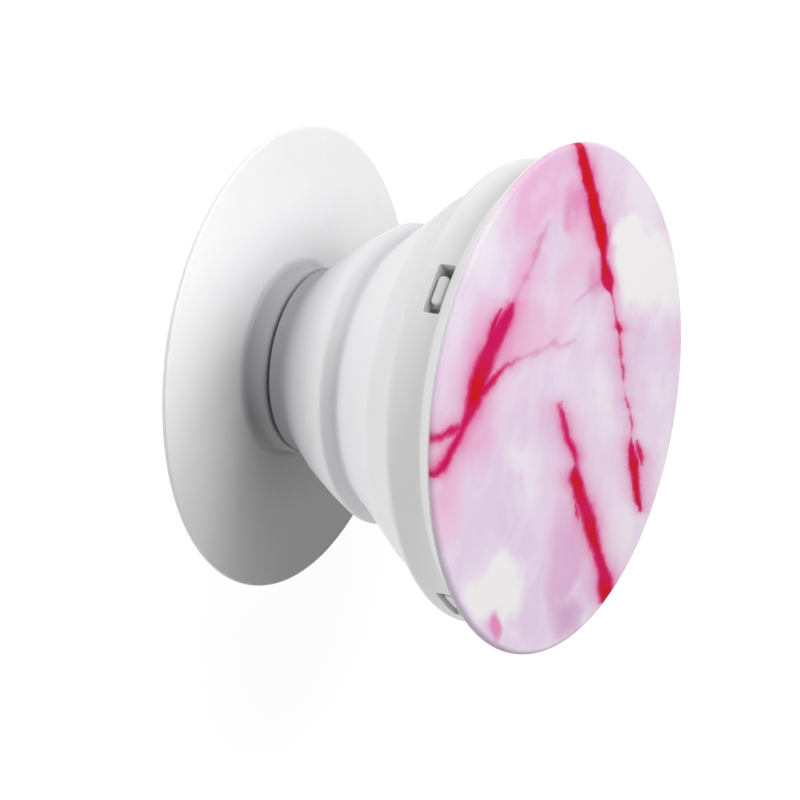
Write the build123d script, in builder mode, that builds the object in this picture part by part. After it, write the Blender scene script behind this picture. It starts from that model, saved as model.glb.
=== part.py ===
from build123d import *
import os

# Collapsible phone grip, pulled out to its open height.
# Millimetres. +Z up along the axis of revolution, z = 0 is the sticky underside of the pad.

# ---- driving dimensions -------------------------------------------------
# adhesive pad
PAD_R = 16.5
PAD_T = 0.8

# base plate and collar
BASE_R = 18.45
BASE_Z0 = PAD_T
BASE_LIP_Z = 1.25
BASE_RIM_Z = 1.58
BASE_FOOT_Z = 1.80
UNDER_R = 16.90
RIM_ROUND = 0.16
COLLAR_R = 7.42
COLLAR_Z1 = 3.70
BORE_R = 4.28
CBORE_R = 5.30
CBORE_Z1 = 1.90

# pivot plug
PLUG_R = 4.20
PLUG_BORE_R = 2.70
PLUG_Z0 = 1.00
PLUG_BARB_R = 4.95
PLUG_BARB_Z = 1.80
HEAD_R = 5.60
HEAD_Z1 = 5.50
SLOT_W = 0.90
SLOT_Z1 = 3.20

# accordion: outer corners of the moulding
FLOOR_Z0 = 3.80
FLOOR_Z1 = 4.60
FLOOR_R = 6.40
NECK_R, NECK_Z0, NECK_Z1 = 7.30, 4.00, 5.03
BULGE_R, BULGE_Z = 9.62, 7.35
RIDGE1_R, RIDGE1_Z = 12.05, 11.50
VALLEY1_R, VALLEY1_Z = 11.00, 12.40
BREAK_R, BREAK_Z = 15.30, 17.60
FLARE_R, FLARE_Z = 16.55, 21.00
TOPWALL_R, TOPWALL_Z = 15.80, 21.75
LIP_R, LIP_Z0, LIP_Z1 = 17.00, 23.62, 24.38
RIDGE_ROUND = 0.32
VALLEY_ROUND = 0.30

# button
SKIRT_R = 18.25
SKIRT_IN_R = 17.20
SKIRT_Z0 = 20.65
PLATE_Z0 = 24.40
RIM_R = 20.00
FLANGE_Z0 = 24.05
FLANGE_Z1 = 25.66
RIM_Z1 = 25.75

# windows in the skirt
WIN_AZ = -21.6
WIN_N = 4
WIN_W = 4.10
WIN_Z0, WIN_Z1 = 22.50, 23.92
WIN_ROUND = 0.20

# retaining ring
RING_IN_R = 15.90
RING_R = 17.10
RING_Z0, RING_Z1 = 21.80, 23.60
LUG_R = 18.00
LUG_W = 2.40
LUG_Z0, LUG_Z1 = 22.70, 23.58
LUG_ROUND = 0.36
SLIT_W = 0.95
SLIT_Z0 = 22.35

# printed face
FACE_R = 20.00
FACE_Z1 = 26.20
FACE_ROUND = 0.40

os.makedirs("parts", exist_ok=True)


def corner(sketch, r, z):
    return sketch.vertices().sort_by_distance((r, z, 0))[0]


# ---- adhesive pad: a die-cut foam disc ----------------------------------
with BuildPart() as adhesive_pad:
    with BuildSketch(Plane.XY):
        Circle(PAD_R)
    extrude(amount=PAD_T)
adhesive_pad.part.label = "adhesive_pad"
export_step(adhesive_pad.part, "parts/adhesive_pad.step")

# ---- base: plate that thins out to a rounded lip, and a short collar ------
with BuildPart() as base_disc:
    with BuildSketch(Plane.XZ) as base_profile:
        with BuildLine():
            Polyline(
                (CBORE_R, BASE_Z0),
                (UNDER_R, BASE_Z0),
                (BASE_R, BASE_LIP_Z),
                (BASE_R, BASE_RIM_Z),
                (COLLAR_R, BASE_FOOT_Z),
                (COLLAR_R, COLLAR_Z1),
                (BORE_R, COLLAR_Z1),
                (BORE_R, CBORE_Z1),
                (CBORE_R, CBORE_Z1),
                close=True,
            )
        make_face()
        fillet(corner(base_profile, BASE_R, BASE_RIM_Z), radius=RIM_ROUND)
        fillet(corner(base_profile, BASE_R, BASE_LIP_Z), radius=0.10)
        fillet(corner(base_profile, COLLAR_R, BASE_FOOT_Z), radius=0.25)
        fillet(corner(base_profile, COLLAR_R, COLLAR_Z1), radius=0.25)
        chamfer(corner(base_profile, BORE_R, COLLAR_Z1), length=0.20)
    revolve(axis=Axis.Z)
base_disc.part.label = "base_disc"
export_step(base_disc.part, "parts/base_disc.step")

# ---- pivot plug: flat head, hollow shank, four barbed fingers ------------
with BuildPart() as pivot_plug:
    with BuildSketch(Plane.XZ) as plug_profile:
        with BuildLine():
            Polyline(
                (0, FLOOR_Z1),
                (PLUG_BORE_R, FLOOR_Z1),
                (PLUG_BORE_R, PLUG_Z0),
                (PLUG_R - 0.15, PLUG_Z0),
                (PLUG_BARB_R, PLUG_BARB_Z - 0.35),
                (PLUG_BARB_R, PLUG_BARB_Z),
                (PLUG_R, PLUG_BARB_Z),
                (PLUG_R, FLOOR_Z1),
                (HEAD_R, FLOOR_Z1),
                (HEAD_R, HEAD_Z1),
                (0, HEAD_Z1),
                close=True,
            )
        make_face()
        fillet(corner(plug_profile, HEAD_R, HEAD_Z1), radius=0.30)
    revolve(axis=Axis.Z)
    with Locations((0, 0, (PLUG_Z0 + SLOT_Z1) / 2 - 0.5)):
        with PolarLocations(0, 2, start_angle=0):
            Box(2 * PLUG_BARB_R + 2, SLOT_W, SLOT_Z1 - PLUG_Z0 + 1, mode=Mode.SUBTRACT)
pivot_plug.part.label = "pivot_plug"
export_step(pivot_plug.part, "parts/pivot_plug.step")

# ---- accordion: one soft moulding, two stiff cones and a flare into the skirt
with BuildPart() as accordion:
    with BuildSketch(Plane.XZ) as acc_profile:
        with BuildLine():
            Polyline(
                (PLUG_R + 0.05, FLOOR_Z0),
                (FLOOR_R, FLOOR_Z0),
                (FLOOR_R, NECK_Z0),
                (NECK_R, NECK_Z0),
                (NECK_R, NECK_Z1),
                (BULGE_R, BULGE_Z),
                (RIDGE1_R, RIDGE1_Z),
                (VALLEY1_R, VALLEY1_Z),
                (BREAK_R, BREAK_Z),
                (FLARE_R, FLARE_Z),
                (TOPWALL_R, TOPWALL_Z),
                (TOPWALL_R, LIP_Z0),
                (LIP_R, LIP_Z0),
                (LIP_R, LIP_Z1),
                (TOPWALL_R - 1.0, LIP_Z1),
                (TOPWALL_R - 1.0, TOPWALL_Z),
                (FLARE_R - 1.10, FLARE_Z + 0.05),
                (BREAK_R - 1.00, BREAK_Z + 0.20),
                (VALLEY1_R - 0.90, VALLEY1_Z),
                (RIDGE1_R - 0.90, RIDGE1_Z - 0.05),
                (BULGE_R - 0.80, BULGE_Z + 0.62),
                (NECK_R - 1.00, NECK_Z1 + 0.42),
                (NECK_R - 1.00, FLOOR_Z1),
                (PLUG_R + 0.05, FLOOR_Z1),
                close=True,
            )
        make_face()
        fillet(corner(acc_profile, NECK_R, NECK_Z0), radius=0.08)
        fillet(corner(acc_profile, NECK_R, NECK_Z1), radius=0.50)
        fillet(corner(acc_profile, BULGE_R, BULGE_Z), radius=20.0)
        fillet(corner(acc_profile, BULGE_R - 0.80, BULGE_Z + 0.62), radius=18.0)
        fillet(corner(acc_profile, RIDGE1_R, RIDGE1_Z), radius=RIDGE_ROUND)
        fillet(corner(acc_profile, VALLEY1_R, VALLEY1_Z), radius=VALLEY_ROUND)
        fillet(corner(acc_profile, BREAK_R, BREAK_Z), radius=0.80)
        fillet(corner(acc_profile, FLARE_R, FLARE_Z), radius=0.40)
        fillet(corner(acc_profile, TOPWALL_R, TOPWALL_Z), radius=0.30)
    revolve(axis=Axis.Z)
accordion.part.label = "accordion"
export_step(accordion.part, "parts/accordion.step")

# ---- retaining ring: four snap fingers, each with a lug for a window -----
with BuildPart() as snap_lug:
    with BuildSketch(Plane.YZ.offset(RING_IN_R + 0.4)):
        with Locations((0, (LUG_Z0 + LUG_Z1) / 2)):
            RectangleRounded(LUG_W, LUG_Z1 - LUG_Z0, LUG_ROUND)
    extrude(amount=LUG_R - RING_IN_R - 0.4)
    fillet(snap_lug.faces().sort_by(Axis.X)[-1].edges(), radius=0.18)

with BuildPart() as retaining_ring:
    with BuildSketch(Plane.XZ):
        with Locations(((RING_IN_R + RING_R) / 2, (RING_Z0 + RING_Z1) / 2)):
            Rectangle(RING_R - RING_IN_R, RING_Z1 - RING_Z0)
    revolve(axis=Axis.Z)
    with PolarLocations(0, WIN_N, start_angle=WIN_AZ):
        with Locations(
            ((RING_IN_R + RING_R) / 2, (LUG_W + SLIT_W) / 2, (SLIT_Z0 + RING_Z1) / 2 + 0.5),
            ((RING_IN_R + RING_R) / 2, -(LUG_W + SLIT_W) / 2, (SLIT_Z0 + RING_Z1) / 2 + 0.5),
        ):
            Box(RING_R - RING_IN_R + 1.0, SLIT_W, RING_Z1 - SLIT_Z0 + 1.0, mode=Mode.SUBTRACT)
        add(snap_lug.part)
retaining_ring.part.label = "retaining_ring"
export_step(retaining_ring.part, "parts/retaining_ring.step")

# ---- button: plate, flared rim and a skirt with four windows --------------------
with BuildPart() as window_cut:
    with BuildSketch(Plane.YZ.offset(RING_IN_R)):
        with Locations((0, (WIN_Z0 + WIN_Z1) / 2)):
            RectangleRounded(WIN_W, WIN_Z1 - WIN_Z0, WIN_ROUND)
    extrude(amount=RIM_R - RING_IN_R)

with BuildPart() as button:
    with BuildSketch(Plane.XZ) as button_profile:
        with BuildLine():
            Polyline(
                (0, PLATE_Z0),
                (SKIRT_IN_R, PLATE_Z0),
                (SKIRT_IN_R, SKIRT_Z0),
                (SKIRT_R, SKIRT_Z0),
                (SKIRT_R, FLANGE_Z0),
                (RIM_R, FLANGE_Z1),
                (RIM_R, RIM_Z1),
                (0, RIM_Z1),
                close=True,
            )
        make_face()
        fillet(corner(button_profile, SKIRT_R, SKIRT_Z0), radius=0.85)
        fillet(corner(button_profile, SKIRT_IN_R, SKIRT_Z0), radius=0.15)
        fillet(corner(button_profile, SKIRT_R, FLANGE_Z0), radius=0.40)
        fillet(corner(button_profile, RIM_R, FLANGE_Z1), radius=0.06)
        fillet(corner(button_profile, RIM_R, RIM_Z1), radius=0.03)
    revolve(axis=Axis.Z)
    with PolarLocations(0, WIN_N, start_angle=WIN_AZ):
        add(window_cut.part, mode=Mode.SUBTRACT)
button.part.label = "button"
export_step(button.part, "parts/button.step")

# ---- printed face with a rolled edge -------------------------------------
with BuildPart() as graphic_disc:
    with BuildSketch(Plane.XZ) as face_profile:
        with BuildLine():
            Polyline(
                (0, RIM_Z1),
                (FACE_R, RIM_Z1),
                (FACE_R, FACE_Z1),
                (0, FACE_Z1),
                close=True,
            )
        make_face()
        fillet(corner(face_profile, FACE_R, FACE_Z1), radius=FACE_ROUND)
    revolve(axis=Axis.Z)
graphic_disc.part.label = "graphic_disc"
export_step(graphic_disc.part, "parts/graphic_disc.step")
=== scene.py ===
import math

import bmesh
import bpy
from mathutils import Matrix, Vector


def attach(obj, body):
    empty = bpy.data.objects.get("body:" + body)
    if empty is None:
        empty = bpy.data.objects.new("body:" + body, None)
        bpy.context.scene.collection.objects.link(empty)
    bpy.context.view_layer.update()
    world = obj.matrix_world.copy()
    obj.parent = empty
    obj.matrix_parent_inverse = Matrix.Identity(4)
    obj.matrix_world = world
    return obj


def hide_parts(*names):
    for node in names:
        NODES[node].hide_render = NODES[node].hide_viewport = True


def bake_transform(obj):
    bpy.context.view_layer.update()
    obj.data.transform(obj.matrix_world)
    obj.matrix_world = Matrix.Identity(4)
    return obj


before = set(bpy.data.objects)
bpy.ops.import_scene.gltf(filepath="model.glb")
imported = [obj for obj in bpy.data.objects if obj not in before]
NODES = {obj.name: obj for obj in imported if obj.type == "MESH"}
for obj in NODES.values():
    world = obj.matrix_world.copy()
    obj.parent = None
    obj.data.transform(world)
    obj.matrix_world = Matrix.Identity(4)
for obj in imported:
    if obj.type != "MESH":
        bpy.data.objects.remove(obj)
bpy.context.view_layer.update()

MM = 0.001

# ------------------------------------------------------------------ sizes (mm), as in the CAD
PAD_R, PAD_T = 16.5, 0.8
BASE_R, BASE_Z0, BASE_LIP_Z, BASE_RIM_Z, BASE_FOOT_Z, UNDER_R = 18.45, 0.8, 1.25, 1.58, 1.80, 16.90
COLLAR_R, COLLAR_Z1 = 7.42, 3.70
BORE_R, CBORE_R, CBORE_Z1 = 4.28, 5.30, 1.90
SKIRT_R, SKIRT_IN_R, SKIRT_Z0, PLATE_Z0 = 18.25, 17.20, 20.65, 24.40
RIM_R, RIM_Z1, FLANGE_Z0, FLANGE_Z1 = 20.00, 25.75, 24.05, 25.66
WIN_AZ, WIN_W, WIN_Z0, WIN_Z1, WIN_ROUND = -21.6, 4.10, 22.50, 23.92, 0.20
RING_IN_R, RING_R, RING_Z0, RING_Z1 = 15.90, 17.10, 21.80, 23.60
LUG_R, LUG_W, LUG_Z0, LUG_Z1, LUG_ROUND = 18.00, 2.40, 22.70, 23.58, 0.36
SLIT_W, SLIT_Z0 = 0.95, 22.35
FACE_R, FACE_Z1 = 20.00, 26.20


# ------------------------------------------------------------------ mesh helpers
def filleted(corners, step=None, closed=True, arc_deg=9.0):
    """Corners are (r, z) or (r, z, radius). Returns the outline with its corners rounded and long runs divided."""
    pts = []
    n = len(corners)
    for i, c in enumerate(corners):
        rad = c[2] if len(c) > 2 else 0.0
        p = Vector((c[0], c[1]))
        if rad <= 0 or (not closed and i in (0, n - 1)):
            pts.append(p)
            continue
        a = (Vector(corners[i - 1][:2]) - p).normalized()
        b = (Vector(corners[(i + 1) % n][:2]) - p).normalized()
        half = math.acos(max(-1, min(1, a.dot(b)))) / 2
        t = rad / math.tan(half)
        centre = p + (a + b).normalized() * rad / math.sin(half)
        s, e = p + a * t, p + b * t
        a0 = math.atan2(s.y - centre.y, s.x - centre.x)
        a1 = math.atan2(e.y - centre.y, e.x - centre.x)
        d = (a1 - a0 + math.pi) % (2 * math.pi) - math.pi
        k = max(2, int(abs(math.degrees(d)) / arc_deg) + 1)
        for j in range(k + 1):
            w = a0 + d * j / k
            pts.append(centre + Vector((math.cos(w), math.sin(w))) * rad)
    if step:
        out = []
        m = len(pts)
        for i in range(m if closed else m - 1):
            p, q = pts[i], pts[(i + 1) % m]
            k = max(1, int(math.ceil((q - p).length / step)))
            out += [p.lerp(q, j / k) for j in range(k)]
        if not closed:
            out.append(pts[-1])
        pts = out
    return [(p.x, p.y) for p in pts]


def lathe(name, outline, seg=240, closed=True):
    """Turns an outline of (r, z) in mm about Z. Points on the axis become single points."""
    bm = bmesh.new()
    rings = []
    for r, z in outline:
        if r < 1e-6:
            rings.append([bm.verts.new((0, 0, z * MM))])
        else:
            rings.append(
                [
                    bm.verts.new((r * MM * math.cos(2 * math.pi * k / seg), r * MM * math.sin(2 * math.pi * k / seg), z * MM))
                    for k in range(seg)
                ]
            )
    n = len(rings)
    for i in range(n if closed else n - 1):
        a, b = rings[i], rings[(i + 1) % n]
        if len(a) == 1 and len(b) == 1:
            continue
        for k in range(seg):
            k2 = (k + 1) % seg
            if len(a) == 1:
                bm.faces.new((a[0], b[k2], b[k]))
            elif len(b) == 1:
                bm.faces.new((a[k], a[k2], b[0]))
            else:
                bm.faces.new((a[k], a[k2], b[k2], b[k]))
    bmesh.ops.recalc_face_normals(bm, faces=bm.faces)
    return bm


def to_object(bm, name, sharp_deg=38):
    me = bpy.data.meshes.new(name)
    bm.to_mesh(me)
    bm.free()
    return from_mesh(me, name, sharp_deg)


def from_mesh(me, name, sharp_deg=38):
    me.name = name
    me.polygons.foreach_set("use_smooth", [True] * len(me.polygons))
    me.set_sharp_from_angle(angle=math.radians(sharp_deg))
    obj = bpy.data.objects.new(name, me)
    bpy.context.scene.collection.objects.link(obj)
    return obj


def prism(bm, outline, height, matrix):
    """A straight prism: outline of (x, y) pushed along +z by height, placed by matrix (mm)."""
    lo = [bm.verts.new(matrix @ Vector((x, y, 0)) * MM) for x, y in outline]
    hi = [bm.verts.new(matrix @ Vector((x, y, height)) * MM) for x, y in outline]
    n = len(outline)
    faces = [bm.faces.new(lo[::-1]), bm.faces.new(hi)]
    for i in range(n):
        faces.append(bm.faces.new((lo[i], lo[(i + 1) % n], hi[(i + 1) % n], hi[i])))
    return faces


# ------------------------------------------------------------------ node helpers
class Net:
    """Short forms for building a material's nodes."""

    def __init__(self, name):
        self.mat = bpy.data.materials.new(name)
        self.mat.use_nodes = True
        self.t = self.mat.node_tree
        self.t.nodes.clear()
        self.out = self.t.nodes.new("ShaderNodeOutputMaterial")
        self.bsdf = self.t.nodes.new("ShaderNodeBsdfPrincipled")
        self.t.links.new(self.bsdf.outputs[0], self.out.inputs[0])

    def new(self, kind, **props):
        n = self.t.nodes.new(kind)
        for k, v in props.items():
            setattr(n, k, v)
        return n

    def put(self, sock, v):
        if isinstance(v, bpy.types.NodeSocket):
            self.t.links.new(v, sock)
        else:
            sock.default_value = v

    def math(self, op, a, b=None, c=None, clamp=False):
        n = self.new("ShaderNodeMath", operation=op, use_clamp=clamp)
        self.put(n.inputs[0], a)
        if b is not None:
            self.put(n.inputs[1], b)
        if c is not None:
            self.put(n.inputs[2], c)
        return n.outputs[0]

    def vec(self, op, a, b=None):
        n = self.new("ShaderNodeVectorMath", operation=op)
        self.put(n.inputs[0], a)
        if b is not None:
            self.put(n.inputs[1], b)
        return n.outputs["Value"] if op in ("DISTANCE", "LENGTH", "DOT_PRODUCT") else n.outputs[0]

    def scale(self, a, s):
        n = self.new("ShaderNodeVectorMath", operation="SCALE")
        self.put(n.inputs[0], a)
        self.put(n.inputs["Scale"], s)
        return n.outputs[0]

    def noise(self, vector, scale, detail=3.0, rough=0.5, distort=0.0, colour=False):
        n = self.new("ShaderNodeTexNoise")
        self.put(n.inputs["Vector"], vector)
        n.inputs["Scale"].default_value = scale
        n.inputs["Detail"].default_value = detail
        n.inputs["Roughness"].default_value = rough
        n.inputs["Distortion"].default_value = distort
        return n.outputs["Color"] if colour else n.outputs["Fac"]

    def ranged(self, v, a, b, c, d, kind="LINEAR"):
        n = self.new("ShaderNodeMapRange", interpolation_type=kind)
        n.clamp = True
        self.put(n.inputs["Value"], v)
        for k, x in zip(("From Min", "From Max", "To Min", "To Max"), (a, b, c, d)):
            self.put(n.inputs[k], x)
        return n.outputs["Result"]

    def mix(self, f, a, b):
        n = self.new("ShaderNodeMix", data_type="RGBA")
        self.put(n.inputs[0], f)
        self.put(n.inputs[6], a)
        self.put(n.inputs[7], b)
        return n.outputs[2]

    def curve(self, v, points, handle="AUTO"):
        n = self.new("ShaderNodeFloatCurve")
        self.put(n.inputs["Value"], v)
        c = n.mapping.curves[0]
        while len(c.points) > 2:
            c.points.remove(c.points[-1])
        c.points[0].location = points[0]
        c.points[1].location = points[-1]
        for p in points[1:-1]:
            c.points.new(*p)
        for p in c.points:
            p.handle_type = handle
        n.mapping.extend = "HORIZONTAL"
        n.mapping.update()
        return n.outputs[0]

    def coords(self):
        return self.new("ShaderNodeTexCoord").outputs["Object"]

    def bump(self, height, distance, strength=1.0, normal=None):
        n = self.new("ShaderNodeBump")
        n.inputs["Strength"].default_value = strength
        n.inputs["Distance"].default_value = distance
        self.put(n.inputs["Height"], height)
        if normal is not None:
            self.put(n.inputs["Normal"], normal)
        return n.outputs[0]


def srgb(r, g, b):
    f = lambda v: v / 12.92 if v <= 0.04045 else ((v + 0.055) / 1.055) ** 2.4
    return (f(r / 255), f(g / 255), f(b / 255), 1.0)


# ------------------------------------------------------------------ materials
def moulded(name, light, dark, rough, grain, grain_mm, spec=0.45, neck=None):
    """Satin moulded plastic: faint flow shading, fine spark-eroded grain, roughness that wanders a little.
    neck: (tone, from, to), a greyer tone near the axis, blended out between two distances from it, in mm. It stands
    for the shade that the collar and neck have in the photo, which the lit floor washes out here."""
    m = Net(name)
    p = m.coords()
    flow = m.noise(p, 95.0, 4.0, 0.55, 0.6)
    mottle = m.noise(p, 900.0, 3.0, 0.6)
    tone = m.math("ADD", m.math("MULTIPLY", flow, 0.7), m.math("MULTIPLY", mottle, 0.3))
    col = m.mix(m.ranged(tone, 0.36, 0.64, 0.0, 1.0), dark, light)
    if neck:
        out = m.vec("LENGTH", m.vec("MULTIPLY", p, (1000.0, 1000.0, 0.0)))
        col = m.mix(m.ranged(m.math("ADD", out, m.math("MULTIPLY", flow, 0.6)), neck[1], neck[2], 0.0, 1.0), neck[0], col)
    m.put(m.bsdf.inputs["Base Color"], col)
    m.put(m.bsdf.inputs["Roughness"], m.ranged(m.noise(p, 420.0, 4.0, 0.6), 0.3, 0.7, rough - 0.05, rough + 0.06))
    m.bsdf.inputs["Specular IOR Level"].default_value = spec
    fine = m.noise(p, 1.0 / (grain_mm * MM), 2.0, 0.6)
    peel = m.noise(p, 700.0, 2.0, 0.5)
    n1 = m.bump(peel, 0.000004)
    m.put(m.bsdf.inputs["Normal"], m.bump(fine, grain * MM, 1.0, n1))
    return m.mat


def foam(name):
    """Closed-cell foam tape: pale grey with fine cells and a tacky, uneven sheen."""
    m = Net(name)
    p = m.coords()
    cells = m.new("ShaderNodeTexVoronoi")
    m.put(cells.inputs["Vector"], p)
    cells.inputs["Scale"].default_value = 2600.0
    cloud = m.noise(p, 260.0, 4.0, 0.6)
    tone = m.math("ADD", m.math("MULTIPLY", cells.outputs["Distance"], 0.6), m.math("MULTIPLY", cloud, 0.5))
    m.put(m.bsdf.inputs["Base Color"], m.mix(m.ranged(tone, 0.25, 0.85, 0.0, 1.0), srgb(176, 178, 180), srgb(206, 208, 210)))
    m.put(m.bsdf.inputs["Roughness"], m.ranged(cloud, 0.3, 0.7, 0.42, 0.62))
    m.put(m.bsdf.inputs["Normal"], m.bump(cells.outputs["Distance"], 0.00003, 0.8))
    return m.mat


def marble(name):
    """Printed marble: white and lilac clouds, pink washes, crimson veins with soft pink halos."""
    m = Net(name)
    flat = m.vec("MULTIPLY", m.coords(), (1000.0, 1000.0, 0.0))  # mm on the face

    def drifted(at, scale, amount, detail):
        n = m.noise(flat, scale, detail, 0.55, colour=True)
        return m.vec("ADD", at, m.scale(m.vec("SUBTRACT", n, (0.5, 0.5, 0.5)), amount))

    soft = drifted(drifted(flat, 0.22, 2.6, 1.0), 0.6, 1.0, 2.0)  # for the clouds
    fine = drifted(drifted(drifted(flat, 0.5, 0.7, 1.0), 1.9, 0.34, 1.5), 3.4, 0.16, 1.0)  # for the veins
    sep = m.new("ShaderNodeSeparateXYZ")
    m.put(sep.inputs[0], fine)
    X, Y = sep.outputs[0], sep.outputs[1]

    def biggest(items):
        v = items[0]
        for i in items[1:]:
            v = m.math("MAXIMUM", v, i)
        return v

    # ---- clouds: soft ovals laid over each other
    WHITE, PALE, LILAC, MAUVE = srgb(242, 240, 241), srgb(239, 232, 240), srgb(236, 219, 238), srgb(228, 207, 231)
    BLUSH, PINK, ROSE, HEATHER = srgb(237, 200, 223), srgb(237, 181, 217), srgb(229, 143, 191), srgb(226, 184, 219)
    haze = m.noise(soft, 0.16, 4.0, 0.55, 0.6)
    wisps = m.noise(m.vec("MULTIPLY", soft, (1.0, 0.55, 1.0)), 0.34, 5.0, 0.6, 1.2)
    col = m.mix(m.ranged(haze, 0.36, 0.62, 0.0, 1.0), srgb(229, 206, 231), srgb(236, 219, 239))
    col = m.mix(m.ranged(wisps, 0.42, 0.62, 0.0, 0.35), col, PALE)

    def laid(under, ovals):
        """ovals: x, y, half length, half width, turn, solid part, colour, strength"""
        for x, y, rx, ry, turn, solid, tone, strength in ovals:
            d = m.new("ShaderNodeMapping", vector_type="TEXTURE")
            m.put(d.inputs["Vector"], soft)
            d.inputs["Location"].default_value = (x, y, 0)
            d.inputs["Rotation"].default_value = (0, 0, math.radians(turn))
            d.inputs["Scale"].default_value = (rx, ry, 1)
            under = m.mix(m.ranged(m.vec("LENGTH", d.outputs[0]), solid, 1.0, strength, 0.0, "SMOOTHSTEP"), under, tone)
        return under

    col = laid(
        col,
        [
            (-7.5, -17.4, 6.5, 3.0, -27, 0.2, PALE, 0.9),
            (-17.9, -6.3, 2.8, 2.6, 0, 0.1, BLUSH, 0.7),
            (-13.5, -4.6, 4.8, 2.0, 10, 0.1, MAUVE, 0.6),
            (-16.3, -1.8, 3.4, 2.4, 0, 0.1, PALE, 0.8),
            (-6.4, -0.8, 5.4, 3.0, -48, 0.1, PALE, 0.95),
            (-3.4, -5.6, 3.0, 2.8, 0, 0.1, PALE, 0.6),
            (-13.4, 9.4, 4.6, 3.6, -30, 0.35, PALE, 1.0),
            (-4.9, 13.4, 4.4, 7.6, 26, 0.35, HEATHER, 0.95),
            (-6.6, 16.8, 4.4, 3.6, 0, 0.0, srgb(212, 172, 204), 0.9),
            (-9.6, 14.6, 2.2, 2.0, 0, 0.1, MAUVE, 0.7),
            (-0.2, 16.8, 3.0, 2.8, 0, 0.2, MAUVE, 0.8),
            (2.2, 11.4, 3.0, 2.4, 0, 0.1, MAUVE, 0.6),
            (10.2, 10.4, 6.2, 4.2, 20, 0.2, MAUVE, 0.75),
            (15.4, 9.8, 4.0, 3.8, 0, 0.2, BLUSH, 0.85),
            (5.3, 15.2, 4.9, 3.2, 0, 0.6, WHITE, 1.0),
            (8.6, 16.3, 3.2, 1.7, -20, 0.4, WHITE, 1.0),
            (4.7, 4.9, 4.0, 1.9, -8, 0.2, PALE, 1.0),
            (2.8, 7.2, 2.2, 3.4, 0, 0.2, PALE, 0.9),
            (9.0, 4.1, 1.5, 0.8, 10, 0.1, MAUVE, 0.6),
            (16.6, -10.4, 4.8, 4.0, 40, 0.3, PALE, 1.0),
            (18.2, -4.4, 2.2, 2.6, 0, 0.1, PALE, 0.7),
            (9.6, -15.0, 8.2, 4.8, 27, 0.3, PINK, 0.9),
            (14.0, -13.2, 2.6, 1.8, 40, 0.0, PALE, 0.5),
            (1.6, -11.6, 4.2, 6.0, -20, 0.3, BLUSH, 0.95),
            (2.7, -15.6, 2.6, 5.0, -28, 0.25, ROSE, 0.85),
            (-2.4, -9.4, 2.6, 1.8, -30, 0.1, ROSE, 0.7),
            (5.6, -11.2, 2.6, 2.2, 0, 0.1, LILAC, 0.8),
            (6.2, -5.0, 8.0, 3.6, 10, 0.3, BLUSH, 1.0),
            (9.4, -8.2, 3.8, 5.2, -16, 0.2, PINK, 0.85),
            (15.2, -2.4, 3.6, 5.2, 0, 0.0, PINK, 0.8),
            (9.4, -3.2, 3.6, 2.2, 10, 0.1, PINK, 0.9),
            (12.6, 3.4, 5.0, 3.2, -20, 0.0, PINK, 0.85),
            (16.6, 8.0, 4.0, 3.4, 0, 0.1, PINK, 0.75),
            (6.0, 18.6, 2.0, 1.1, 0, 0.1, PINK, 0.9),
            (4.9, 18.1, 1.7, 1.35, 0, 0.4, ROSE, 0.95),
            (-19.0, 2.8, 2.0, 4.6, 0, 0.2, PALE, 0.95),
        ],
    )

    # ---- veins
    def vein(points, along="y", reach=1.0, edge=0.34):
        """points: (x, y, half width, redness, halo) down the vein, in mm. Gives its core, red middle, halo and far blush."""
        k = 1 if along == "y" else 0
        pts = sorted(points, key=lambda q: q[k])
        lo, hi = pts[0][k] - 0.8, pts[-1][k] + 0.8
        olo = min(q[1 - k] for q in pts) - 1.0
        ohi = max(q[1 - k] for q in pts) + 1.0
        wlo, whi = -1.4, max(q[2] for q in pts)
        u = lambda v: (v - lo) / (hi - lo)
        t = m.ranged(Y if k else X, lo, hi, 0.0, 1.0)
        at = [u(q[k]) for q in pts]
        line = [(q[1 - k] - olo) / (ohi - olo) for q in pts]
        c = m.curve(t, [(0.0, line[0])] + list(zip(at, line)) + [(1.0, line[-1])])
        c = m.math("MULTIPLY_ADD", c, ohi - olo, olo)
        w = m.curve(t, [(0.0, 0.0)] + [(a, (q[2] - wlo) / (whi - wlo)) for a, q in zip(at, pts)] + [(1.0, 0.0)], "VECTOR")
        w = m.math("MULTIPLY_ADD", w, whi - wlo, wlo)
        run, side = abs(pts[-1][k] - pts[0][k]), abs(pts[-1][1 - k] - pts[0][1 - k])
        d = m.math("MULTIPLY", m.math("ABSOLUTE", m.math("SUBTRACT", X if k else Y, c)), run / math.hypot(run, side))
        s = m.math("SUBTRACT", d, w)  # distance from the vein's edge, less than 0 inside
        core = m.ranged(s, -edge, edge, 1.0, 0.0, "SMOOTHSTEP")
        red = m.curve(t, [(0.0, 0.0)] + [(a, q[3]) for a, q in zip(at, pts)] + [(1.0, 0.0)], "VECTOR")
        red = m.math("MULTIPLY", red, m.ranged(s, -0.5, -0.1, 1.0, 0.0, "SMOOTHSTEP"))
        amp = m.curve(t, [(0.0, 0.0)] + [(a, q[4]) for a, q in zip(at, pts)] + [(1.0, 0.0)], "VECTOR")
        away = m.math("MAXIMUM", s, 0.0)
        near = m.math("EXPONENT", m.math("DIVIDE", away, -0.55 * reach))
        far = m.math("EXPONENT", m.math("DIVIDE", away, -1.9 * reach))
        return core, red, m.math("MULTIPLY", amp, near), m.math("MULTIPLY", amp, far)

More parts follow.
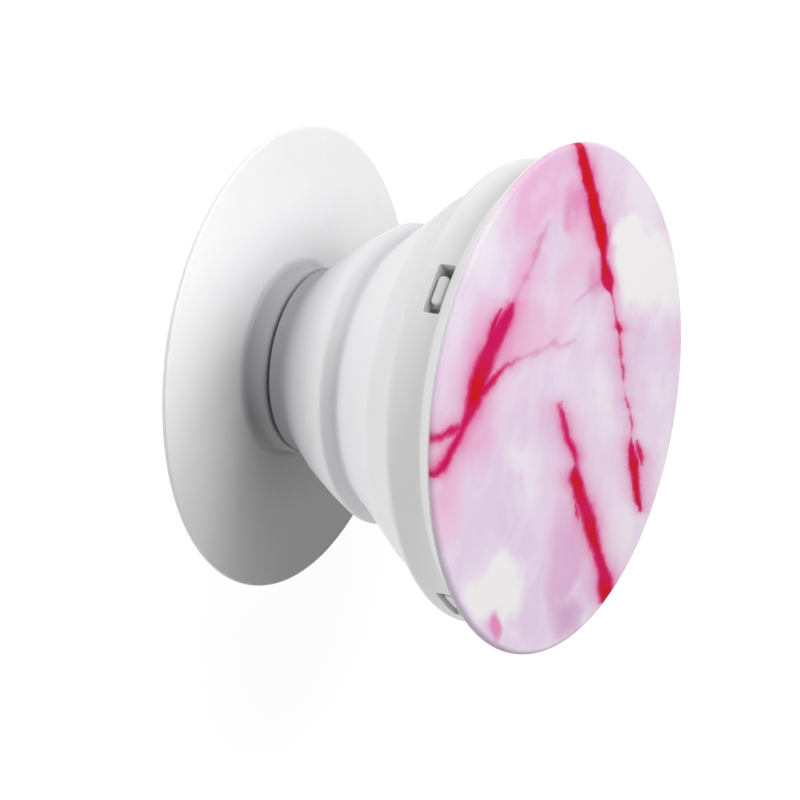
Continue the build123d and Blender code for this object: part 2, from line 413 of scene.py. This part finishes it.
    # from the top edge down to the right, broken into dashes, then thick again
    v1 = vein(
        [
            (4.3, -20.1, 0.35, 0.2, 0.5), (3.7, -19.4, 0.6, 0.9, 0.7), (2.6, -18.2, 0.85, 1.0, 0.85), (1.0, -16.4, 0.75, 1.0, 0.85), (-0.5, -14.8, 0.9, 1.0, 0.9),
            (-1.7, -13.4, 0.98, 1.0, 0.9), (-2.5, -12.3, 0.7, 1.0, 0.8), (-3.05, -11.7, 0.42, 0.9, 0.7), (-3.65, -10.7, 0.7, 0.9, 0.8), (-4.3, -9.7, 0.85, 0.5, 0.8),
            (-4.9, -9.0, 0.5, 0.1, 0.6), (-5.5, -8.6, 0.04, 0, 0.5), (-6.2, -7.8, 0.05, 0, 0.5), (-6.9, -7.0, 0.08, 0, 0.55), (-7.6, -6.35, 0.5, 0, 0.85),
            (-7.8, -5.75, -0.02, 0, 0.6), (-8.05, -5.0, 0.12, 0, 0.6), (-8.5, -4.2, 0.14, 0, 0.6), (-8.8, -3.8, 0.0, 0, 0.5), (-9.15, -3.3, 0.14, 0, 0.55), (-9.5, -2.6, 0.12, 0, 0.5),
            (-9.9, -2.0, -0.16, 0, 0.35), (-10.4, -1.3, -0.12, 0, 0.35), (-10.8, -0.85, 0.13, 0, 0.5), (-11.4, -0.35, 0.12, 0, 0.5), (-11.7, 0.05, -0.06, 0, 0.4), (-12.0, 0.5, 0.11, 0, 0.5),
            (-12.4, 1.15, 0.1, 0, 0.5), (-12.55, 1.7, -0.08, 0, 0.5), (-12.8, 2.4, 0.26, 0.1, 0.8), (-13.2, 3.1, 0.56, 0.4, 0.9), (-13.9, 4.1, 0.65, 1.0, 0.9),
            (-14.75, 5.6, 0.52, 1.0, 0.75), (-15.7, 7.1, 0.45, 0.9, 0.7), (-16.3, 7.8, 0.2, 0.2, 0.5),
        ],
        edge=0.24,
    )
    # from near the middle to the lower right edge
    v3 = vein(
        [
            (0.5, 0.3, 0.0, 0, 0.6), (-0.2, 1.0, 0.22, 0, 0.9), (-1.2, 2.1, 0.3, 0, 1.0), (-2.3, 3.1, 0.46, 0, 1.0), (-3.4, 4.0, 0.36, 0, 1.0), (-4.0, 4.7, 0.08, 0, 0.9),
            (-4.0, 5.3, 0.45, 0.5, 0.9), (-4.5, 6.2, 0.95, 1.0, 1.0), (-5.5, 7.1, 0.85, 0.6, 1.0), (-6.8, 8.2, 0.9, 0.0, 1.0), (-7.9, 9.2, 0.85, 0.7, 1.0),
            (-8.75, 10.2, 0.75, 1.0, 1.0), (-9.7, 11.2, 0.6, 0.8, 1.0), (-10.8, 12.2, 0.6, 0.1, 1.0), (-11.9, 13.2, 0.85, 0.3, 0.9), (-12.5, 14.4, 1.0, 1.0, 0.9), (-13.0, 15.4, 0.8, 0.8, 0.7),
        ]
    )
    v3c = vein([(0.1, 0.2, 0.0, 0, 0.4), (-0.9, 1.4, 0.12, 0, 0.5), (-1.9, 2.4, 0.14, 0, 0.6), (-2.7, 3.2, 0.02, 0, 0.4)], edge=0.22, reach=0.5)
    v3b = vein([(-4.8, 7.9, 0.12, 0, 0.5), (-5.4, 8.5, 0.26, 0, 0.6), (-6.0, 8.9, 0.1, 0, 0.5)], along="x", edge=0.3)
    # on the left, with its forked top and two side arms
    v2 = vein(
        [
            (10.7, -6.6, 0.2, 0, 0.8), (11.0, -5.8, 0.6, 0, 1.0), (11.8, -4.5, 0.8, 0, 1.0), (12.8, -3.0, 0.95, 0, 1.0), (13.6, -1.5, 1.05, 0.5, 1.0), (14.0, -0.2, 1.1, 1.0, 1.0),
            (14.2, 1.0, 1.0, 1.0, 1.0), (14.5, 2.2, 0.6, 0.1, 1.0), (15.4, 3.6, 0.42, 0, 1.0), (16.3, 5.0, 0.5, 0, 1.0), (17.3, 6.2, 0.45, 0, 1.0), (18.5, 7.1, 0.5, 0, 0.9), (20.2, 7.7, 0.4, 0, 0.8),
        ],
        reach=1.25,
    )
    v2d = vein(
        [(12.3, -6.0, 0.15, 0, 0.8), (12.8, -5.0, 0.42, 0, 1.0), (13.2, -3.6, 0.5, 0, 1.0), (13.8, -2.0, 0.5, 0, 1.0), (14.2, -0.8, 0.4, 0, 1.0)], reach=1.2, edge=0.3
    )
    v2b = vein(
        [
            (14.2, 0.8, 0.3, 0.4, 0.9), (13.2, 0.4, 0.55, 0.3, 1.0), (12.2, -0.2, 0.42, 0, 1.0), (11.2, -0.95, 0.32, 0, 0.9), (10.3, -1.7, 0.16, 0, 0.7),
            (9.3, -2.15, 0.0, 0, 0.45), (8.2, -2.45, -0.15, 0, 0.3),
        ],
        along="x",
    )
    v2c = vein(
        [(14.9, 3.1, 0.1, 0, 0.8), (15.9, 3.4, 0.24, 0, 0.9), (16.9, 3.65, 0.36, 0, 0.9), (18.0, 4.15, 0.26, 0, 0.9), (20.2, 4.5, 0.26, 0, 0.85)], along="x", reach=0.9
    )
    v1b = vein([(-13.7, 2.2, 0.1, 0, 0.7), (-14.3, 2.8, 0.36, 0, 0.9), (-14.9, 3.5, 0.34, 0, 0.9), (-15.3, 4.2, 0.05, 0, 0.6)], reach=0.8)
    # faint pink threads
    f1 = vein(
        [
            (10.6, -6.4, 0.3, 0, 0.9), (10.1, -7.2, 0.1, 0, 0.9), (9.5, -8.1, 0.0, 0, 0.8), (9.1, -8.7, 0.42, 0, 1.0), (8.8, -9.2, 0.0, 0, 0.8), (8.35, -10.0, 0.1, 0, 0.9),
            (8.2, -10.5, 0.5, 0, 1.0), (8.0, -11.2, 0.1, 0, 1.0), (7.75, -11.9, 0.4, 0, 1.0), (7.4, -12.6, 0.1, 0, 0.8), (7.0, -13.3, 0.0, 0, 0.4),
        ],
        edge=0.35,
        reach=1.1,
    )
    f2 = vein(
        [
            (9.6, -2.05, 0.1, 0, 0.8), (8.3, -2.45, 0.12, 0, 0.8), (7.0, -2.75, 0.1, 0, 0.7), (5.6, -3.05, 0.2, 0, 0.7), (4.4, -3.5, 0.04, 0, 0.5), (2.9, -4.1, 0.22, 0, 0.6), (1.7, -4.0, 0.02, 0, 0.4),
            (0.6, -4.3, 0.16, 0, 0.5), (-0.8, -4.7, 0.0, 0, 0.3),
        ],
        along="x",
        edge=0.3,
        reach=0.6,
    )
    f3 = vein(
        [(-3.2, -9.5, 0.16, 0, 0.6), (-2.2, -9.05, 0.1, 0, 0.5), (-1.3, -8.6, 0.14, 0, 0.5), (-0.2, -8.0, 0.06, 0, 0.4), (0.6, -7.6, 0.0, 0, 0.3)], along="x", edge=0.3, reach=0.5
    )
    threads = [f1, f2, f3]
    col = m.mix(m.math("MULTIPLY", biggest([f[2] for f in threads]), 0.55), col, srgb(228, 152, 192))
    col = m.mix(m.math("MULTIPLY", biggest([f[0] for f in threads]), 0.4), col, srgb(208, 112, 160))
    veins = [v1, v2, v3, v2b, v2c, v2d, v1b, v3b, v3c]
    col = m.mix(m.math("MULTIPLY", biggest([v[3] for v in veins]), 0.5), col, srgb(232, 140, 190))
    col = m.mix(m.math("MULTIPLY", biggest([v[2] for v in veins]), 0.85), col, srgb(228, 66, 138))
    # the large white patch lies over the long vein's halo
    col = laid(col, [(-11.4, -11.2, 8.2, 4.5, -14, 0.55, WHITE, 1.0), (-7.3, -12.9, 3.9, 2.6, -24, 0.7, WHITE, 1.0)])
    crimson = m.mix(biggest([v[1] for v in (v1, v2, v3, v2b)]), srgb(206, 18, 96), srgb(208, 18, 26))
    col = m.mix(biggest([v[0] for v in veins]), col, crimson)

    # the print is rolled over the edge and thins out at its foot; on the rolled edge it is rougher and less glossy, and
    # its colour is darkened a little there as painted shade
    side = m.new("ShaderNodeSeparateXYZ")
    m.put(side.inputs[0], m.coords())
    bare = m.mix(m.noise(flat, 1.6, 3.0, 0.6), srgb(226, 224, 226), srgb(232, 230, 232))
    col = m.mix(m.ranged(side.outputs[2], 0.02576, 0.02588, 0.0, 1.0, "SMOOTHSTEP"), bare, col)
    turn = m.ranged(m.vec("LENGTH", flat), 19.5, 19.75, 0.0, 1.0, "SMOOTHSTEP")
    # painted shade: the rolled edge's colour is darkened by up to 15 per cent towards a dark mauve
    col = m.mix(m.math("MULTIPLY", turn, 0.15), col, srgb(120, 104, 118))
    m.put(m.bsdf.inputs["Base Color"], col)
    rough = m.ranged(m.noise(flat, 0.8, 4.0, 0.6), 0.3, 0.7, 0.36, 0.46)
    m.put(m.bsdf.inputs["Roughness"], m.math("ADD", rough, m.math("MULTIPLY", turn, 0.36)))
    m.put(m.bsdf.inputs["Specular IOR Level"], m.ranged(turn, 0.0, 1.0, 0.4, 0.1))
    m.put(m.bsdf.inputs["Normal"], m.bump(m.noise(flat, 9.0, 2.0, 0.5), 0.0000015))
    return m.mat


PLASTIC = moulded("white_moulded_plastic", srgb(237, 236, 237), srgb(233, 232, 233), 0.42, 0.0016, 0.09, 0.45, (srgb(188, 187, 189), 7.7, 8.5))
SOFT = moulded("white_soft_elastomer", srgb(251, 250, 252), srgb(248, 248, 249), 0.55, 0.0022, 0.12, 0.35, (srgb(181, 180, 183), 7.9, 11.9))
FOAM = foam("adhesive_foam_tape")
MARBLE = marble("marble_face_print")


# ------------------------------------------------------------------ pieces
def dress(obj, mat, node, body=None):
    obj.data.materials.clear()
    obj.data.materials.append(mat)
    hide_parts(node)
    if body:
        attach(obj, body)
    return obj


# adhesive pad: die-cut, its edge a little barrelled
pad = to_object(
    lathe("pad", filleted([(0, 0), (PAD_R - 0.04, 0, 0.06), (PAD_R, PAD_T * 0.5, 0.8), (PAD_R - 0.04, PAD_T, 0.06), (0, PAD_T)], closed=False), closed=False),
    "foam_pad",
)
dress(pad, FOAM, "adhesive_pad", "base")

# base plate and collar
base = to_object(
    lathe(
        "base",
        filleted(
            [
                (CBORE_R, BASE_Z0, 0.05), (UNDER_R, BASE_Z0, 0.15), (BASE_R, BASE_LIP_Z, 0.10), (BASE_R, BASE_RIM_Z, 0.16),
                (COLLAR_R, BASE_FOOT_Z, 0.25), (COLLAR_R, COLLAR_Z1, 0.25), (BORE_R, COLLAR_Z1, 0.12), (BORE_R, CBORE_Z1, 0.05), (CBORE_R, CBORE_Z1, 0.05),
            ],
            step=1.2,
        ),
        seg=288,
    ),
    "base_plate",
)
dress(base, PLASTIC, "base_disc", "base")

# accordion: one soft shell between the stem and the button, turned from a folded outline
shell = filleted(
    [
        (4.25, 3.80, 0.06), (6.40, 3.80, 0.05), (6.40, 4.00, 0.05), (7.30, 4.00, 0.08), (7.30, 5.03, 0.50), (9.62, 7.35, 20.0),
        (12.05, 11.50, 0.32), (11.00, 12.40, 0.30), (15.30, 17.60, 0.80), (16.55, 21.00, 0.40), (15.80, 21.75, 0.30),
        (15.80, 23.62, 0.08), (17.00, 23.62, 0.08), (17.00, 24.38, 0.08), (14.80, 24.38, 0.10), (14.80, 21.75, 0.25),
        (15.45, 21.05, 0.20), (14.30, 17.80, 0.60), (10.10, 12.40, 0.20), (11.15, 11.45, 0.15), (8.82, 7.97, 18.0), (6.30, 5.45, 0.10), (6.30, 4.60, 0.08), (4.25, 4.60, 0.06),
    ],
    step=0.45,
    arc_deg=12,
)
accordion = to_object(lathe("accordion", shell, seg=256), "soft_accordion", 50)
dress(accordion, SOFT, "accordion")
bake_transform(accordion)

# button: plate, flared rim and skirt, with its four windows cut through the skirt
body = to_object(
    lathe(
        "button",
        filleted(
            [
                (0, PLATE_Z0), (SKIRT_IN_R, PLATE_Z0, 0.15), (SKIRT_IN_R, SKIRT_Z0, 0.15), (SKIRT_R, SKIRT_Z0, 0.85),
                (SKIRT_R, FLANGE_Z0, 0.40), (RIM_R, FLANGE_Z1, 0.06), (RIM_R, RIM_Z1, 0.03), (0, RIM_Z1),
            ],
            closed=False,
            arc_deg=6,
        ),
        seg=288,
        closed=False,
    ),
    "button_uncut",
)

def beside(k, radius, height):
    """A frame at window k: x along the skirt, y up, z outwards; its origin at this radius and height."""
    az = math.radians(WIN_AZ + 90 * k)
    out = Vector((math.cos(az), math.sin(az), 0))
    m = Matrix((Vector((-math.sin(az), math.cos(az), 0)), Vector((0, 0, 1)), out)).transposed().to_4x4()
    m.translation = out * radius + Vector((0, 0, height))
    return m


def cut_from(obj, cutter_bm, name, sharp_deg, how="DIFFERENCE"):
    """The object's mesh with the cutter taken away, or joined on, as a new object."""
    bmesh.ops.recalc_face_normals(cutter_bm, faces=cutter_bm.faces)
    cutter = to_object(cutter_bm, name + "_cutter")
    mod = obj.modifiers.new("cut", "BOOLEAN")
    mod.operation = how
    mod.solver = "EXACT"
    mod.object = cutter
    bpy.context.view_layer.update()
    me = bpy.data.meshes.new_from_object(obj.evaluated_get(bpy.context.evaluated_depsgraph_get()))
    bpy.data.objects.remove(obj)
    bpy.data.objects.remove(cutter)
    return from_mesh(me, name, sharp_deg)


def oblong(w, h, rad, arc_deg):
    return filleted([(-w, -h, rad), (w, -h, rad), (w, h, rad), (-w, h, rad)], arc_deg=arc_deg)


cut = bmesh.new()
window = oblong(WIN_W / 2, (WIN_Z1 - WIN_Z0) / 2, WIN_ROUND, 15)
for k in range(4):
    prism(cut, window, 3.4, beside(k, SKIRT_IN_R - 1.3, (WIN_Z0 + WIN_Z1) / 2))
button = cut_from(body, cut, "button_shell", 32)
dress(button, PLASTIC, "button", "button")

# retaining ring: four snap fingers between slits, each with a rounded lug
ring = to_object(
    lathe(
        "ring",
        filleted([(RING_IN_R, RING_Z0, 0.12), (RING_R, RING_Z0, 0.12), (RING_R, RING_Z1, 0.08), (RING_IN_R, RING_Z1, 0.08)], arc_deg=22),
        seg=240,
    ),
    "ring_uncut",
)
cut = bmesh.new()
slit = [(-SLIT_W / 2, SLIT_Z0), (SLIT_W / 2, SLIT_Z0), (SLIT_W / 2, RING_Z1 + 1.0), (-SLIT_W / 2, RING_Z1 + 1.0)]
for k in range(4):
    for way in (-1, 1):
        place = beside(k, RING_IN_R - 0.5, 0.0) @ Matrix.Translation((way * (LUG_W + SLIT_W) / 2, 0, 0))
        prism(cut, slit, RING_R - RING_IN_R + 1.0, place)
ring = cut_from(ring, cut, "slit_ring", 38)
lugs = bmesh.new()
lug_w, lug_h = LUG_W / 2 - 0.01, (LUG_Z1 - LUG_Z0) / 2
# the lug's outer edge is rounded over 0.18 mm, in steps
steps = [(RING_R - 0.30, 0.0), (LUG_R - 0.18, 0.0)] + [(LUG_R - 0.18 + 0.18 * math.sin(a), 0.18 * (1 - math.cos(a))) for a in (math.radians(v) for v in (22.5, 45, 67.5, 90))]
for k in range(4):
    rows = []
    for r, inset in steps:
        m = beside(k, r, (LUG_Z0 + LUG_Z1) / 2)
        rows.append([lugs.verts.new(m @ Vector((x, y, 0)) * MM) for x, y in oblong(lug_w - inset, lug_h - inset, LUG_ROUND - inset, 15)])
    n = len(rows[0])
    lugs.faces.new(rows[0][::-1])
    lugs.faces.new(rows[-1])
    for a, b in zip(rows[:-1], rows[1:]):
        for i in range(n):
            lugs.faces.new((a[i], a[(i + 1) % n], b[(i + 1) % n], b[i]))
ring = cut_from(ring, lugs, "snap_ring", 38, "UNION")
dress(ring, PLASTIC, "retaining_ring", "button")

# printed face, its edge rolled over
face = to_object(
    lathe(
        "face",
        filleted([(0, RIM_Z1), (FACE_R, RIM_Z1, 0.03), (FACE_R, FACE_Z1, 0.40), (0, FACE_Z1)], closed=False, arc_deg=6),
        seg=288,
        closed=False,
    ),
    "printed_face",
)
dress(face, MARBLE, "graphic_disc", "button")

# the plug inside keeps its CAD shape
plug = NODES["pivot_plug"]
plug.data.materials.clear()
plug.data.materials.append(PLASTIC)

# ------------------------------------------------------------------ floor, light, camera
floor_bm = bmesh.new()
half = 1.5
grid = 24
rows = [[floor_bm.verts.new((-half + 2 * half * i / grid, -half + 2 * half * j / grid, -0.00003)) for i in range(grid + 1)] for j in range(grid + 1)]
for j in range(grid):
    for i in range(grid):
        floor_bm.faces.new((rows[j][i], rows[j][i + 1], rows[j + 1][i + 1], rows[j + 1][i]))
# a low kerb round it, so that a level view still ends in the same pale tone
edge = rows[0] + [r[-1] for r in rows[1:]] + rows[-1][-2::-1] + [r[0] for r in rows[-2:0:-1]]
kerb = [floor_bm.verts.new((v.co.x, v.co.y, 0.11)) for v in edge]
for i in range(len(edge)):
    k = (i + 1) % len(edge)
    floor_bm.faces.new((edge[i], edge[k], kerb[k], kerb[i]))
floor = to_object(floor_bm, "floor")
# a lit sweep table: pale, and bright enough from below that the grip throws hardly any shadow
fl = Net("pale_floor")
fl.put(fl.bsdf.inputs["Base Color"], fl.mix(fl.noise(fl.coords(), 6.0, 3.0), srgb(88, 88, 89), srgb(91, 91, 92)))
fl.bsdf.inputs["Roughness"].default_value = 0.9
fl.bsdf.inputs["Specular IOR Level"].default_value = 0.1
fl.bsdf.inputs["Emission Color"].default_value = (1.0, 1.0, 1.0, 1.0)
fl.bsdf.inputs["Emission Strength"].default_value = 0.94
floor.data.materials.append(fl.mat)

scene = bpy.context.scene
scene.view_settings.view_transform = "Standard"
scene.view_settings.look = "None"
scene.view_settings.exposure = 0.0
scene.view_settings.gamma = 1.0

world = bpy.data.worlds.new("studio")
scene.world = world
world.use_nodes = True
bg = world.node_tree.nodes["Background"]
bg.inputs["Color"].default_value = (1.0, 1.0, 1.0, 1.0)
bg.inputs["Strength"].default_value = 0.02


def softbox(name, towards, distance, size, power, colour=(1, 1, 1)):
    d = Vector(towards).normalized()
    light = bpy.data.lights.new(name, "AREA")
    light.shape = "DISK"
    light.size = size
    light.energy = power
    light.color = colour
    o = bpy.data.objects.new(name, light)
    o.location = Vector((0, 0, 0.012)) + d * distance
    o.rotation_mode = "QUATERNION"
    o.rotation_quaternion = d.to_track_quat("Z", "Y")
    scene.collection.objects.link(o)
    return o


def aimed(azimuth, elevation):
    a, e = math.radians(azimuth), math.radians(elevation)
    return (math.cos(e) * math.cos(a), math.cos(e) * math.sin(a), math.sin(e))


softbox("key", aimed(270, 58), 0.6, 0.26, 1.72)
softbox("key_side", aimed(315, 58), 0.6, 0.26, 1.30)
softbox("fill", aimed(315, 42), 0.6, 0.26, 0.68)
softbox("top", aimed(0, 72), 0.6, 0.26, 0.32)
softbox("back", aimed(135, 42), 0.6, 0.26, 0.22)
softbox("low_side", aimed(90, 24), 0.6, 0.26, 0.20)
softbox("back_rim", aimed(135, 24), 0.6, 0.26, 0.12)

# the photo's view: the grip's axis runs across the picture, tipped a little down to the right
ALPHA, ROLL, DIST, LENS = 1.062623093950429, 0.15978733863422975, 441.7274449668144, 250.0
SHIFT_X, SHIFT_Y, RIM_PLANE = -8.8070, -3.4708, 1.4
back = Vector((math.sin(ALPHA), 0, math.cos(ALPHA)))
r0 = Vector((-math.cos(ALPHA), 0, math.sin(ALPHA)))
u0 = Vector((0, -1, 0))
right = r0 * math.cos(ROLL) + u0 * math.sin(ROLL)
up = u0 * math.cos(ROLL) - r0 * math.sin(ROLL)
cam_data = bpy.data.cameras.new("camera")
cam_data.lens = LENS
cam_data.sensor_width = 36.0
cam_data.sensor_fit = "HORIZONTAL"
cam_data.clip_start, cam_data.clip_end = 0.02, 20.0
cam = bpy.data.objects.new("camera", cam_data)
m4 = Matrix((right, up, back)).transposed().to_4x4()
m4.translation = (right * -SHIFT_X + up * SHIFT_Y + back * DIST + Vector((0, 0, RIM_PLANE))) * MM
cam.matrix_world = m4
scene.collection.objects.link(cam)
scene.camera = cam
